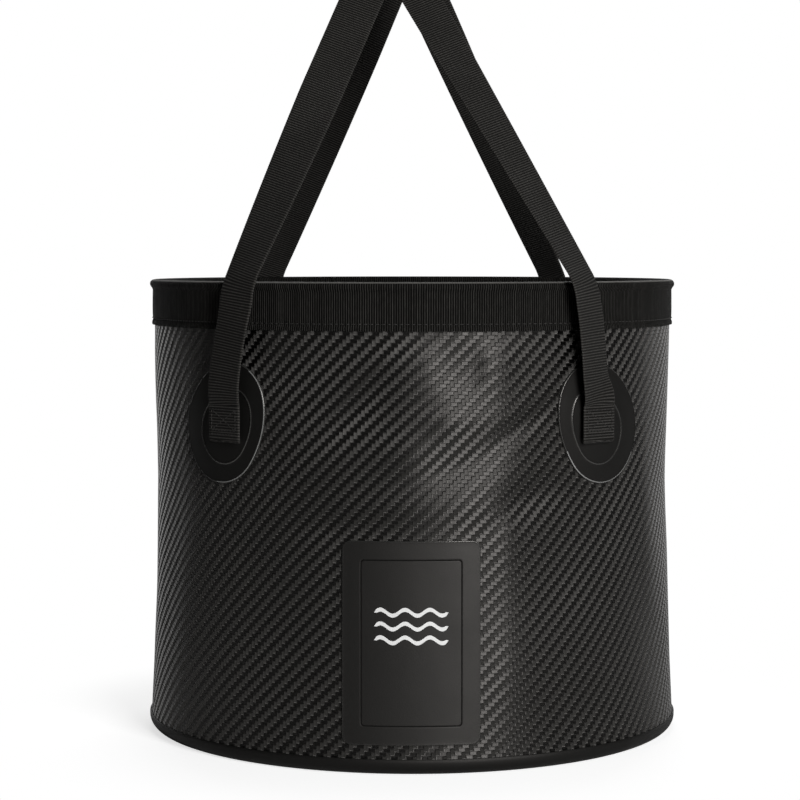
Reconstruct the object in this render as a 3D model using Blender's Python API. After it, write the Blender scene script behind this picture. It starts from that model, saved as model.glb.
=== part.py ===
"""Collapsible camp bucket: a sheet wall welded to a cupped bottom, a taped rim with a hoop in its fold,
a label patch, four handle patches and two webbing handles sewn to them.

Metres, +Z up. The origin is the centre of the bottom's underside, and the label faces -Y.
Angles round the bucket start at the label and grow towards +X.
"""

import math

import bmesh
import bpy
from mathutils import Vector
from mathutils.geometry import interpolate_bezier

# Clearance between pieces that lie on each other
SEAT_GAP = 0.0003

# Wall and bottom. The radius is to the outside of the sheet, and the waist and neck draw in from it
RIM_HEIGHT = 0.2675
FOOT_RADIUS = 0.1575
WAIST_DRAW = 0.0050
WAIST_HEIGHT = 0.150
NECK_DRAW = 0.0032
FLARE_POWER = 1.2
SHEET_THICKNESS = 0.0008
BOTTOM_THICKNESS = 0.0008
SKIRT_HEIGHT = 0.009
CORNER_RADIUS = 0.007
HEM_SWEEP = math.radians(60)
WALL_ROW_SHARES = (0.12, 0.27, 0.42, 0.58, 0.75)

# Welded lap that closes the wall at the back
SEAM_WIDTH = 0.015
SEAM_STEP = 0.0006
SEAM_RAMP = 0.0004
SEAM_ANGLE = math.pi

# Rim tape, folded over the hoop
TAPE_LEG = 0.0265
TAPE_THICKNESS = 0.0008
HOOP_ROD_RADIUS = 0.0015
HOOP_ROLL = 0.0005
FOLD_START = math.radians(-50)

# Label patch
LABEL_WIDTH = 0.0755
LABEL_HEIGHT = 0.110
LABEL_BOTTOM = 0.016
LABEL_CORNER = 0.0048
LABEL_THICKNESS = 0.0010
FRAME_MARGIN = 0.0106
FRAME_CORNER = 0.0020

# Handle patches
PATCH_ANGLE = math.radians(44.3)
PATCH_WIDTH = 0.0595
PATCH_BELOW_HINGE = 0.013
PATCH_DROP = 0.0285
PATCH_RISE = 0.0425
PATCH_LEAN = math.radians(35)
PATCH_THICKNESS = 0.0012
OVAL_WIDTH = 0.0372
OVAL_DROP = 0.0185
OVAL_RISE = 0.0275
OVAL_SIDE = -0.0038

# Weld grooves and edges of the patches
GROOVE_WIDTH = 0.0012
GROOVE_DEPTH = 0.0004
PATCH_EDGE = 0.0004
BACK_SHARES = (0.35, 0.7, 1.0)
FILL_SHARES = (0.65, 0.32)

# Handle webbing
STRAP_WIDTH = 0.025
STRAP_THICKNESS = 0.0014
STRAP_EDGE = 0.0004
SEWN_LENGTH = 0.019
HINGE_HEIGHT = 0.197
SEWN_ANGLE = math.radians(41.6)
SEWN_TWIST = math.radians(44)

# Route of a handle over the rim and up to the hand
RUN_START = 0.002
RUN_PULL = 0.015
RUN_LEAN = 0.35
RUN_TWIST = math.radians(54)
TWIST_SHARE = 0.3
RIM_LEAN = math.radians(10)
RIM_STAND = 0.0054
RIM_BEND = 0.008
BEND_SHARE = 0.67
HAND_HEIGHT = 0.468
FRONT_HAND_SIDE = -0.0146
BACK_HAND_SIDE = -0.0052
HAND_SPREAD = 0.0128
HAND_BEND = 0.030
HAND_PULL = 0.020
CREST_HEIGHT = 0.500
CREST_PULL = 0.009

# Where each leg crosses the rim, its turn out of the rim's line there, and the share of the leg that undoes it
LEGS = {
    "front_right": (math.radians(36.0), math.radians(55), 1.33),
    "front_left": (math.radians(35.7), math.radians(42), 0.60),
    "back_right": (math.radians(34.9), math.radians(49), 0.90),
    "back_left": (math.radians(35.9), math.radians(45), 0.80),
}

# Facets
ROUND_STEPS = 72
FOLD_STEPS = 6
TURN_STEPS = 4
CORNER_STEPS = 3
SIDE_STEPS = 4
END_STEPS = 6
OVAL_STEPS = 30
HOOP_SIDES = 6
RUN_STEPS = 9
BEND_STEPS = 7
LEG_STEPS = 7
CREST_STEPS = 10
SHARP_ANGLE = math.radians(40)

# Colour, roughness and metallic value of each material
FINISHES = {
    "embossed_sheet": ((0.030, 0.030, 0.031), 0.42, 0.0),
    "plain_sheet": ((0.018, 0.018, 0.018), 0.55, 0.0),
    "patch_sheet": ((0.021, 0.021, 0.021), 0.60, 0.0),
    "rim_tape": ((0.012, 0.012, 0.013), 0.85, 0.0),
    "webbing": ((0.016, 0.015, 0.015), 0.85, 0.0),
    "hoop_rod": ((0.150, 0.150, 0.150), 0.45, 0.0),
}

# Places worked out from the sizes above
WAIST_RADIUS = FOOT_RADIUS - WAIST_DRAW
NECK_RADIUS = FOOT_RADIUS - NECK_DRAW
PATCH_MIDDLE = HINGE_HEIGHT - PATCH_BELOW_HINGE
SEWN_BOTTOM = HINGE_HEIGHT - SEWN_LENGTH
TAPE_BOTTOM = RIM_HEIGHT - TAPE_LEG
HOOP_RADIUS = NECK_RADIUS - SHEET_THICKNESS / 2 + HOOP_ROLL
FOLD_INSIDE = HOOP_ROD_RADIUS + SEAT_GAP
FOLD_OUTSIDE = FOLD_INSIDE + TAPE_THICKNESS
HOOP_HEIGHT = RIM_HEIGHT - FOLD_OUTSIDE
WALL_TOP = HOOP_HEIGHT - FOLD_INSIDE
SKIRT_RADIUS = FOOT_RADIUS + SEAT_GAP + BOTTOM_THICKNESS


def clear_scene():
    for old in list(bpy.data.objects):
        bpy.data.objects.remove(old)


def make_material(name):
    colour, roughness, metallic = FINISHES[name]
    material = bpy.data.materials.new(name)
    material.use_nodes = True
    shader = material.node_tree.nodes["Principled BSDF"]
    shader.inputs["Base Color"].default_value = (*colour, 1.0)
    shader.inputs["Roughness"].default_value = roughness
    shader.inputs["Metallic"].default_value = metallic
    return material


def add_piece(name, bm, finish, parent=None):
    """Turns a bmesh in world coordinates into an object whose origin is its parent's."""
    origin = parent.location if parent else Vector((0, 0, 0))
    bmesh.ops.translate(bm, verts=bm.verts, vec=-origin)
    bmesh.ops.recalc_face_normals(bm, faces=bm.faces)
    mesh = bpy.data.meshes.new(name)
    bm.to_mesh(mesh)
    bm.free()
    mesh.shade_smooth()
    mesh.set_sharp_from_angle(angle=SHARP_ANGLE)
    mesh.materials.append(bpy.data.materials.get(finish) or make_material(finish))
    piece = bpy.data.objects.new(name, mesh)
    bpy.context.scene.collection.objects.link(piece)
    piece.parent = parent
    return piece


def add_pivot(name, location):
    pivot = bpy.data.objects.new(name, None)
    pivot.location = location
    bpy.context.scene.collection.objects.link(pivot)
    return pivot


def loft(bm, rings, wrap=False, caps=False):
    """Joins outlines of equal length by quads, round to the first one or with flat ends if asked."""
    rows = [[bm.verts.new(point) for point in ring] for ring in rings]
    pairs = list(zip(rows, rows[1:]))
    if wrap:
        pairs.append((rows[-1], rows[0]))
    for low, high in pairs:
        for i in range(len(low)):
            bm.faces.new((low[i - 1], low[i], high[i], high[i - 1]))
    if caps:
        bm.faces.new(rows[0])
        bm.faces.new(rows[-1])
    return rows


def close_with_fan(bm, row, centre):
    middle = bm.verts.new(centre)
    for i in range(len(row)):
        bm.faces.new((row[i - 1], row[i], middle))


def arc(centre, radius, start, end, steps):
    """Points of an arc in the profile plane, (radius from the bucket's axis, height)."""
    angles = [start + (end - start) * i / steps for i in range(steps + 1)]
    return [(centre[0] + radius * math.cos(a), centre[1] + radius * math.sin(a)) for a in angles]


def around(angle, radius, height):
    return Vector((radius * math.sin(angle), -radius * math.cos(angle), height))


def wall_radius(height):
    """Outside radius of the wall: it draws in to a waist and opens again to the rim tape."""
    if height < WAIST_HEIGHT:
        share = min(1, (WAIST_HEIGHT - height) / (WAIST_HEIGHT - CORNER_RADIUS))
        return WAIST_RADIUS + (FOOT_RADIUS - WAIST_RADIUS) * share**FLARE_POWER
    share = min(1, (height - WAIST_HEIGHT) / (TAPE_BOTTOM - WAIST_HEIGHT))
    return WAIST_RADIUS + (NECK_RADIUS - WAIST_RADIUS) * share**FLARE_POWER


def revolve(profile, on_axis=False):
    """A turned solid. The profile is a closed outline, or one that starts and ends on the axis."""
    bm = bmesh.new()
    points = [bm.verts.new((0, -radius, height)) for radius, height in profile]
    edges = [bm.edges.new(pair) for pair in zip(points, points[1:])]
    if not on_axis:
        edges.append(bm.edges.new((points[-1], points[0])))
    bmesh.ops.spin(
        bm,
        geom=points + edges,
        cent=(0, 0, 0),
        axis=(0, 0, 1),
        angle=math.tau,
        steps=ROUND_STEPS,
        use_merge=True,
    )
    bmesh.ops.remove_doubles(bm, verts=bm.verts, dist=SEAT_GAP / 10)
    return bm


def make_bottom():
    """A disc whose edge turns up into the skirt that the wall is welded into."""
    centre = (SKIRT_RADIUS - CORNER_RADIUS, CORNER_RADIUS)
    inside = CORNER_RADIUS - BOTTOM_THICKNESS
    profile = [(0, 0)]
    profile += arc(centre, CORNER_RADIUS, -math.pi / 2, 0, TURN_STEPS)
    profile += [(SKIRT_RADIUS, SKIRT_HEIGHT), (SKIRT_RADIUS - BOTTOM_THICKNESS, SKIRT_HEIGHT)]
    profile += arc(centre, inside, 0, -math.pi / 2, TURN_STEPS)
    profile += [(0, BOTTOM_THICKNESS)]
    return add_piece("bottom_disc", revolve(profile, on_axis=True), "plain_sheet")


def seam_lift(angle, height):
    """How far the welded lap stands out of the wall. It fades out at its sides and short of its ends."""
    across = abs(angle - SEAM_ANGLE) * WAIST_RADIUS
    margins = (
        SEAM_WIDTH / 2 - across,
        height - SKIRT_HEIGHT - SEAM_STEP,
        TAPE_BOTTOM - SEAM_STEP - height,
    )
    return SEAM_STEP * max(0, min(1, min(margins) / SEAM_RAMP))


def wall_columns():
    """Angles of the wall's columns, with four more for the sides of the welded lap."""
    angles = [math.tau * i / ROUND_STEPS for i in range(ROUND_STEPS)]
    for side in (-1, 1):
        for edge in (SEAM_WIDTH / 2, SEAM_WIDTH / 2 - SEAM_RAMP):
            angles.append(SEAM_ANGLE + side * edge / WAIST_RADIUS)
    return sorted(angles)


def make_wall():
    """The rolled sheet, from the hem in the bottom's corner to the top edge under the hoop."""
    corner = (SKIRT_RADIUS - CORNER_RADIUS, CORNER_RADIUS)
    hem_radius = FOOT_RADIUS - corner[0]
    hem = arc(corner, hem_radius, -HEM_SWEEP, 0, CORNER_STEPS)
    hem_inside = arc(corner, hem_radius - SHEET_THICKNESS, -HEM_SWEEP, 0, CORNER_STEPS)
    lap_low = SKIRT_HEIGHT + SEAM_STEP
    lap_high = TAPE_BOTTOM - SEAM_STEP
    heights = [lap_low, lap_low + SEAM_RAMP]
    for share in WALL_ROW_SHARES:
        heights.append(RIM_HEIGHT * share)
    heights += [lap_high - SEAM_RAMP, lap_high, WALL_TOP]
    outside = hem + [(wall_radius(height), height) for height in heights]
    inside = hem_inside + [(wall_radius(height) - SHEET_THICKNESS, height) for height in heights]
    rings = []
    for angle in wall_columns():
        ring = [around(angle, radius + seam_lift(angle, height), height) for radius, height in outside]
        ring += [around(angle, radius, height) for radius, height in reversed(inside)]
        rings.append(ring)
    bm = bmesh.new()
    loft(bm, rings, wrap=True)
    return add_piece("wall_panel", bm, "embossed_sheet")


def make_rim():
    """The hoop, and the tape folded over it with a leg down each side of the wall."""
    centre = (HOOP_RADIUS, HOOP_HEIGHT)
    rod = arc(centre, HOOP_ROD_RADIUS, math.pi / 2, math.pi / 2 + math.tau, HOOP_SIDES)[:-1]
    hoop = add_piece("rim_hoop", revolve(rod), "hoop_rod")
    fold_end = math.pi - FOLD_START
    leg_out = NECK_RADIUS + SEAT_GAP
    leg_in = NECK_RADIUS - SHEET_THICKNESS - SEAT_GAP
    leg_top = HOOP_HEIGHT - FOLD_OUTSIDE - TAPE_THICKNESS
    outer = [(leg_out + TAPE_THICKNESS, TAPE_BOTTOM), (leg_out + TAPE_THICKNESS, leg_top)]
    outer += arc(centre, FOLD_OUTSIDE, FOLD_START, fold_end, FOLD_STEPS)
    outer += [(leg_in - TAPE_THICKNESS, leg_top), (leg_in - TAPE_THICKNESS, TAPE_BOTTOM)]
    inner = [(leg_in, TAPE_BOTTOM), (leg_in, leg_top)]
    inner += arc(centre, FOLD_INSIDE, fold_end, FOLD_START, FOLD_STEPS)
    inner += [(leg_out, leg_top), (leg_out, TAPE_BOTTOM)]
    tape = add_piece("rim_binding", revolve(outer + inner), "rim_tape")
    return hoop, tape


def rounded_rectangle(width, height, corner):
    """Outline as (across, up) from its centre, with the same number of points whatever its size."""
    across = width / 2 - corner
    up = height / 2 - corner
    quarter = math.pi / 2
    centres = ((across, -up), (across, up), (-across, up), (-across, -up))
    turns = []
    for i, centre in enumerate(centres):
        turns.append(arc(centre, corner, (i - 1) * quarter, i * quarter, CORNER_STEPS))
    points = []
    for turn, following, steps in zip(turns, turns[1:] + turns[:1], (SIDE_STEPS, END_STEPS) * 2):
        points += turn
        points += [Vector(turn[-1]).lerp(Vector(following[0]), i / steps) for i in range(1, steps)]
    return points


def egg(width, drop, rise, lean):
    """Outline as (across, up) from its widest level: an ellipse below, a taller one above, tilted."""
    points = []
    for i in range(OVAL_STEPS):
        turn = math.tau * i / OVAL_STEPS
        across = width / 2 * math.cos(turn)
        up = (rise if math.sin(turn) > 0 else drop) * math.sin(turn)
        tilted = across * math.cos(lean) - up * math.sin(lean)
        points.append((tilted, up * math.cos(lean) + across * math.sin(lean)))
    return points


def scaled(outline, share):
    return [(across * share, up * share) for across, up in outline]


def make_patch(name, finish, angle, middle, thickness, outline_at, groove_at, mirror=1):
    """A sheet patch laid on the wall, with a weld groove inside its edge.

    outline_at and groove_at give an outline drawn in by a distance.
    """

    def ring(outline, lift):
        points = []
        for across, up in outline:
            radius = wall_radius(middle + up) + SEAT_GAP + lift
            points.append(around(angle + mirror * across / radius, radius, middle + up))
        return points

    floor = thickness - GROOVE_DEPTH
    rings = [ring(scaled(outline_at(0), share), 0) for share in BACK_SHARES]
    rings.append(ring(outline_at(0), thickness - PATCH_EDGE))
    rings.append(ring(outline_at(PATCH_EDGE), thickness))
    rings.append(ring(groove_at(0), thickness))
    rings.append(ring(groove_at(GROOVE_WIDTH / 4), floor))
    rings.append(ring(groove_at(GROOVE_WIDTH * 3 / 4), floor))
    rings.append(ring(groove_at(GROOVE_WIDTH), thickness))
    rings += [ring(scaled(groove_at(GROOVE_WIDTH), share), thickness) for share in FILL_SHARES]
    bm = bmesh.new()
    rows = loft(bm, rings)
    close_with_fan(bm, rows[0], ring([(0, 0)], 0)[0])
    close_with_fan(bm, rows[-1], ring([(0, 0)], thickness)[0])
    return add_piece(name, bm, finish)


def make_label():
    def edge(inset):
        return rounded_rectangle(LABEL_WIDTH - 2 * inset, LABEL_HEIGHT - 2 * inset, LABEL_CORNER - inset)

    def frame_line(inset):
        draw = FRAME_MARGIN + inset
        return rounded_rectangle(LABEL_WIDTH - 2 * draw, LABEL_HEIGHT - 2 * draw, FRAME_CORNER - inset / 2)

    middle = LABEL_BOTTOM + LABEL_HEIGHT / 2
    return make_patch("label_patch", "patch_sheet", 0, middle, LABEL_THICKNESS, edge, frame_line)


def make_handle_patch(name, angle, mirror):
    def edge(inset):
        return egg(PATCH_WIDTH - 2 * inset, PATCH_DROP - inset, PATCH_RISE - inset, PATCH_LEAN)

    def oval(inset):
        outline = egg(OVAL_WIDTH - 2 * inset, OVAL_DROP - inset, OVAL_RISE - inset, PATCH_LEAN)
        return [(across + OVAL_SIDE, up) for across, up in outline]

    return make_patch(name, "patch_sheet", angle, PATCH_MIDDLE, PATCH_THICKNESS, edge, oval, mirror)


def strap_section():
    """Cross-section of the webbing as (across, through), with its edges eased."""
    across = STRAP_WIDTH / 2
    through = STRAP_THICKNESS / 2
    short = across - STRAP_EDGE
    thin = through - STRAP_EDGE
    return [
        (across, -thin), (across, thin), (short, through), (-short, through),
        (-across, thin), (-across, -thin), (-short, -through), (short, -through),
    ]


def ribbon(path, across):
    """Webbing swept along a path, each station with its own direction across the strap."""
    last = len(path) - 1
    rings = []
    for i, centre in enumerate(path):
        ahead = (path[min(i + 1, last)] - path[max(i - 1, 0)]).normalized()
        side = (across[i] - ahead * across[i].dot(ahead)).normalized()
        face = side.cross(ahead)
        rings.append([centre + side * u + face * v for u, v in strap_section()])
    bm = bmesh.new()
    loft(bm, rings, caps=True)
    return bm


def sewn_radii():
    """Mid-radius of the outer and of the turned-under layer of a sewn strap end."""
    seat = wall_radius(HINGE_HEIGHT) + SEAT_GAP + PATCH_THICKNESS + SEAT_GAP
    under = seat + STRAP_THICKNESS / 2
    return under + STRAP_THICKNESS + SEAT_GAP, under


def make_strap_end(name, angle, twist):
    """The strap's end, turned under itself and sewn flat on its patch."""
    outer, under = sewn_radii()
    fold = (outer - under) / 2
    top = HINGE_HEIGHT - SEAT_GAP / 2
    low = SEWN_BOTTOM + fold + STRAP_THICKNESS / 2
    profile = [(outer, top), (outer, (top + low) / 2)]
    profile += arc(((outer + under) / 2, low), fold, 0, -math.pi, FOLD_STEPS)
    profile += [(under, (top + low) / 2), (under, top)]
    path = [around(angle, radius, height) for radius, height in profile]
    return add_piece(name, ribbon(path, [turned(angle + twist)] * len(path)), "webbing")


def ease(share):
    return share * share * (3 - 2 * share)


def turned(angle):
    return Vector((math.cos(angle), math.sin(angle), 0))


def handle_half(row, side):
    """Half of a handle, from its sewn end to the crest: centres, and directions across the strap.

    side is 1 for the leg at +X and -1 for the other, whose directions are still those of its mirror image.
    The back handle is made as a front one here, and make_handle turns it round.
    """
    rim_angle, rim_twist, fade = LEGS[f"{row}_{'right' if side > 0 else 'left'}"]
    hand_side = FRONT_HAND_SIDE if row == "front" else BACK_HAND_SIDE
    outer, _ = sewn_radii()
    up = Vector((0, 0, 1))
    start = around(side * SEWN_ANGLE, outer, HINGE_HEIGHT + SEAT_GAP / 2)
    rise = start + up * RUN_START
    away = up + around(side * SEWN_ANGLE, 1, 0) * RUN_LEAN
    clear_of_fold = HOOP_RADIUS + FOLD_OUTSIDE + RIM_STAND
    corner = around(side * rim_angle, clear_of_fold, HOOP_HEIGHT + FOLD_OUTSIDE / 2)
    hand = Vector((hand_side, -HAND_SPREAD, HAND_HEIGHT))
    crest = Vector((hand_side, -HAND_SPREAD, CREST_HEIGHT))
    lean = up * math.cos(RIM_LEAN) - side * turned(side * rim_angle) * math.sin(RIM_LEAN)
    leg = (hand - corner).normalized()
    run_end = corner - lean * RIM_BEND
    leg_start = corner + leg * RIM_BEND
    leg_end = hand - leg * HAND_BEND
    run = interpolate_bezier(rise, rise + away * RUN_PULL, run_end - lean * RUN_PULL, run_end, RUN_STEPS)
    pulls = (run_end.lerp(corner, BEND_SHARE), leg_start.lerp(corner, BEND_SHARE))
    bend = interpolate_bezier(run_end, *pulls, leg_start, BEND_STEPS)
    over = Vector((side * CREST_PULL, 0, 0))
    top = interpolate_bezier(leg_end, leg_end + leg * HAND_PULL, crest + over, crest, CREST_STEPS)

    path = [start]
    twists = [SEWN_TWIST]
    for i, centre in enumerate(run):
        path.append(centre)
        share = i / (RUN_STEPS - 1)
        first = ease(min(1, share / TWIST_SHARE))
        last = ease(max(0, 1 - (1 - share) / TWIST_SHARE))
        twists.append(SEWN_TWIST + (RUN_TWIST - SEWN_TWIST) * first + (rim_twist - RUN_TWIST) * last)
    for centre in bend[1:]:
        path.append(centre)
        twists.append(rim_twist)
    for i in range(1, LEG_STEPS + 1):
        path.append(leg_start.lerp(leg_end, i / LEG_STEPS))
        twists.append(rim_twist * max(0, 1 - i / LEG_STEPS / fade))
    left_over = twists[-1]
    for i, centre in enumerate(top[1:], 1):
        path.append(centre)
        twists.append(left_over + (math.pi / 2 - left_over) * ease(i / (CREST_STEPS - 1)))
    return path, [turned(twist) for twist in twists]


def make_handle(name, row, pivot, depth):
    """One strap from patch to patch. depth is 1 for the front handle, -1 for the back one."""
    path, across = handle_half(row, 1)
    left_path, left_across = handle_half(row, -1)
    path += reversed(left_path[:-1])
    across += [Vector((-side.x, side.y, 0)) for side in reversed(left_across[:-1])]
    path = [Vector((p.x, depth * p.y, p.z)) for p in path]
    across = [Vector((d.x, depth * d.y, d.z)) for d in across]
    return add_piece(name, ribbon(path, across), "webbing", pivot)


def hinge_depth():
    """How far in front of the bucket's axis a handle turns: at the foremost corner of its sewn ends."""
    outer, _ = sewn_radii()
    face = outer + STRAP_THICKNESS / 2
    return face * math.cos(SEWN_ANGLE) + STRAP_WIDTH / 2 * math.sin(SEWN_TWIST) + SEAT_GAP


def build():
    clear_scene()
    make_bottom()
    make_wall()
    make_rim()
    make_label()
    for row, turn, mirror in (("front", 0, 1), ("back", math.pi, -1)):
        for side, sign in (("right", 1), ("left", -1)):
            hand = sign * mirror
            make_handle_patch(f"handle_patch_{row}_{side}", turn + hand * PATCH_ANGLE, hand)
            twist = hand * (SEWN_TWIST - SEWN_ANGLE)
            make_strap_end(f"strap_end_{row}_{side}", turn + hand * SEWN_ANGLE, twist)
        pivot = add_pivot(f"{row}_handle_pivot", (0, -mirror * hinge_depth(), HINGE_HEIGHT))
        make_handle(f"{row}_strap", row, pivot, mirror)


build()
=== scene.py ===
"""Looks of the collapsible bucket: embossed sheet wall, welded patches, taped rim and ribbed webbing handles."""

import math

import bpy
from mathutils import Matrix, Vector, noise
from mathutils.geometry import interpolate_bezier


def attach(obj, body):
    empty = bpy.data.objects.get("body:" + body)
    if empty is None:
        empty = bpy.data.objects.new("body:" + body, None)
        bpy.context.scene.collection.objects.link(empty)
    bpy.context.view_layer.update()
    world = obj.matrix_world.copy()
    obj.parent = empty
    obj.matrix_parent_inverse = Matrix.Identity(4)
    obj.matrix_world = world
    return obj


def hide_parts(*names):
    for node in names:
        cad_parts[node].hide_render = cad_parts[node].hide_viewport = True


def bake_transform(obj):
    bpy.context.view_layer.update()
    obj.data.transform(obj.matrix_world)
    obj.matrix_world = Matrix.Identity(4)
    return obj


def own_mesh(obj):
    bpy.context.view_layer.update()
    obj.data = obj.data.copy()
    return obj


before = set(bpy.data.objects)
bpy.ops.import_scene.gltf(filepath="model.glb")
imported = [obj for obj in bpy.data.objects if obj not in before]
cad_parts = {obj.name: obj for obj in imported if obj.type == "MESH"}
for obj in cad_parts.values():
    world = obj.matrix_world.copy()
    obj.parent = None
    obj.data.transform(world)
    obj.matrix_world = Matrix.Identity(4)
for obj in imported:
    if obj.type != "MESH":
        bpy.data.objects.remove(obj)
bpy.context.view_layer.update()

# Sizes shared with the solids
GAP = 0.0003
RIM_HEIGHT = 0.2675
FOOT_RADIUS = 0.1575
WAIST_RADIUS = 0.1525
WAIST_HEIGHT = 0.150
NECK_RADIUS = 0.1543
FLARE_POWER = 1.2
SHEET = 0.0008
CORNER_RADIUS = 0.007
SKIRT_HEIGHT = 0.009
SKIRT_RADIUS = FOOT_RADIUS + GAP + SHEET
HEM_SWEEP = math.radians(60)
TAPE_LEG = 0.0265
TAPE = 0.0008
HOOP_ROD = 0.0015
HOOP_RADIUS = NECK_RADIUS - SHEET / 2 + 0.0005
FOLD_IN = HOOP_ROD + GAP
FOLD_OUT = FOLD_IN + TAPE
HOOP_HEIGHT = RIM_HEIGHT - FOLD_OUT
TAPE_BOTTOM = RIM_HEIGHT - TAPE_LEG
WALL_TOP = HOOP_HEIGHT - FOLD_IN

LABEL_WIDTH = 0.0755
LABEL_HEIGHT = 0.111
LABEL_MIDDLE = 0.0722
LABEL_CORNER = 0.0048
LABEL_THICK = 0.0010
FRAME_MARGIN = 0.0106
FRAME_LINE = 0.0012
FRAME_CORNER = 0.0020

PATCH_ANGLE = math.radians(44.3)
PATCH_WIDTH = 0.0595
PATCH_MIDDLE = 0.184
PATCH_DROP = 0.0285
PATCH_RISE = 0.0425
PATCH_LEAN = math.radians(35)
PATCH_THICK = 0.0012
OVAL_WIDTH = 0.0372
OVAL_DROP = 0.0185
OVAL_RISE = 0.0275
OVAL_SIDE = -0.0038

STRAP_WIDTH = 0.025
STRAP_THICK = 0.0014
SEWN_BOTTOM = 0.178
HINGE_HEIGHT = 0.197
SEWN_ANGLE = math.radians(41.2)
SEWN_TWIST = math.radians(44)
RUN_START = 0.002
RUN_PULL = 0.015
RUN_LEAN = 0.20
TWIST_SHARE = 0.3
RIM_LEAN = math.radians(10)
RIM_STAND = 0.0054
RIM_BEND = 0.008
BEND_SHARE = 0.67
HAND_HEIGHT = 0.468
HAND_SIDES = {"front": -0.0146, "back": -0.0052}
HAND_SPREAD = 0.0128
HAND_BEND = 0.030
HAND_PULL = 0.020
CREST_HEIGHT = 0.500
CREST_PULL = 0.009

# Where each leg crosses the rim, its turn out of the rim's line there, the share of the leg that undoes it, and
# its turn and slide towards the middle below the rim
LEGS = {
    "front_right": (math.radians(36.0), math.radians(55), 1.33, math.radians(55), 0.0026),
    "front_left": (math.radians(35.7), math.radians(42), 0.60, math.radians(46), 0.0),
    "back_right": (math.radians(34.9), math.radians(49), 0.90, math.radians(54), 0.0010),
    "back_left": (math.radians(35.9), math.radians(45), 0.80, math.radians(50), 0.0),
}


def smooth(low, high, value):
    """From 0 at low to 1 at high, level at both ends."""
    share = max(0.0, min(1.0, (value - low) / (high - low)))
    return share * share * (3 - 2 * share)


def around(angle, radius, height):
    """A point at an angle from the front, positive to the right."""
    return Vector((radius * math.sin(angle), -radius * math.cos(angle), height))


def turned(angle):
    """The level direction along the wall at an angle from the front."""
    return Vector((math.cos(angle), math.sin(angle), 0))


def arc(centre, radius, start, end, steps):
    angles = [start + (end - start) * i / steps for i in range(steps + 1)]
    return [(centre[0] + radius * math.cos(a), centre[1] + radius * math.sin(a)) for a in angles]


def wall_radius(height):
    """Outer radius of the solid wall, which is drawn in at its waist."""
    if height < WAIST_HEIGHT:
        share = min(1, (WAIST_HEIGHT - height) / (WAIST_HEIGHT - CORNER_RADIUS))
        return WAIST_RADIUS + (FOOT_RADIUS - WAIST_RADIUS) * share**FLARE_POWER
    share = min(1, (height - WAIST_HEIGHT) / (TAPE_BOTTOM - WAIST_HEIGHT))
    return WAIST_RADIUS + (NECK_RADIUS - WAIST_RADIUS) * share**FLARE_POWER


def turn_between(a, b):
    """The smaller turn from one angle to the other, never negative."""
    return abs((a - b + math.pi) % math.tau - math.pi)


# Soft folds that storing the bucket flat has left in the sheet: angle, height, half-width, half-height, depth, and
# the degrees that the fold leans to the right per metre of height
FOLDS = (
    (-1.0, 0.222, 5.5, 0.022, 0.0018, 0),
    (10.0, 0.224, 4.5, 0.020, -0.0024, 0),
    (17.8, 0.222, 2.8, 0.020, 0.0016, 0),
    (8.0, 0.197, 4.5, 0.012, 0.0014, 0),
    (22.0, 0.188, 3.2, 0.014, -0.0012, 560),
    (10.0, 0.169, 8.0, 0.013, -0.0022, 300),
    (-2.0, 0.175, 6.0, 0.012, 0.0010, 0),
    (-8.5, 0.134, 13.0, 0.007, -0.0009, 0),
    (25.0, 0.150, 6.0, 0.012, -0.0012, 300),
    (33.0, 0.120, 8.0, 0.040, -0.0008, 0),
    (-12.0, 0.198, 4.0, 0.024, -0.0013, 300),
    (-23.0, 0.160, 5.0, 0.030, 0.0013, 200),
    (-31.0, 0.224, 5.0, 0.015, -0.0016, 0),
    (-30.0, 0.085, 9.0, 0.036, -0.0008, 0),
    (62.0, 0.130, 7.0, 0.040, 0.0012, 0),
    (-64.0, 0.110, 7.0, 0.045, -0.0010, 0),
    (100.0, 0.170, 10.0, 0.040, -0.0016, 0),
    (118.0, 0.095, 9.0, 0.040, 0.0014, 0),
    (160.0, 0.130, 8.0, 0.050, -0.0014, 0),
    (171.0, 0.200, 6.0, 0.022, 0.0016, 0),
    (205.0, 0.170, 10.0, 0.036, 0.0015, 0),
    (238.0, 0.100, 9.0, 0.045, -0.0015, 0),
    (262.0, 0.185, 8.0, 0.034, 0.0013, 0),
)
# Slow waves all over the sheet: depth, how often they turn round the wall and up it, and a seed
SWELLS = (
    (0.0009, 2.1, 9, 0),
    (0.0005, 5, 22, 7),
)
# The front of the wall swells a little between its waist and the handle patches
BULGE = 0.0020
BULGE_HEIGHT = 0.158
BULGE_TALL = 0.055
BULGE_TURN = (math.radians(40), math.radians(18))
# The heights between which the sheet comes free of the skirt, and of the rim tape
FREE_OF_SKIRT = (0.012, 0.050)
FREE_OF_TAPE = (0.2415, 0.224)
# Half-width and half-height of the flat part round a handle patch and round the label. The patch's is centred
# this much above the patch's middle, and the label lets through this share of the folds.
PATCH_FLAT = (0.040, 0.046)
PATCH_FLAT_RISE = 0.002
LABEL_FLAT = (0.046, 0.064)
LABEL_FREE = 0.25
MOST_DEPTH = 0.008
# When the bucket is pressed flat, the tape goes over the sheet's upper part, so the folds are shallow there
TUCKED_FROM = (0.184, 0.200)
TUCKED_OUT = 0.0016
TUCKED_IN = 0.0007


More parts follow.
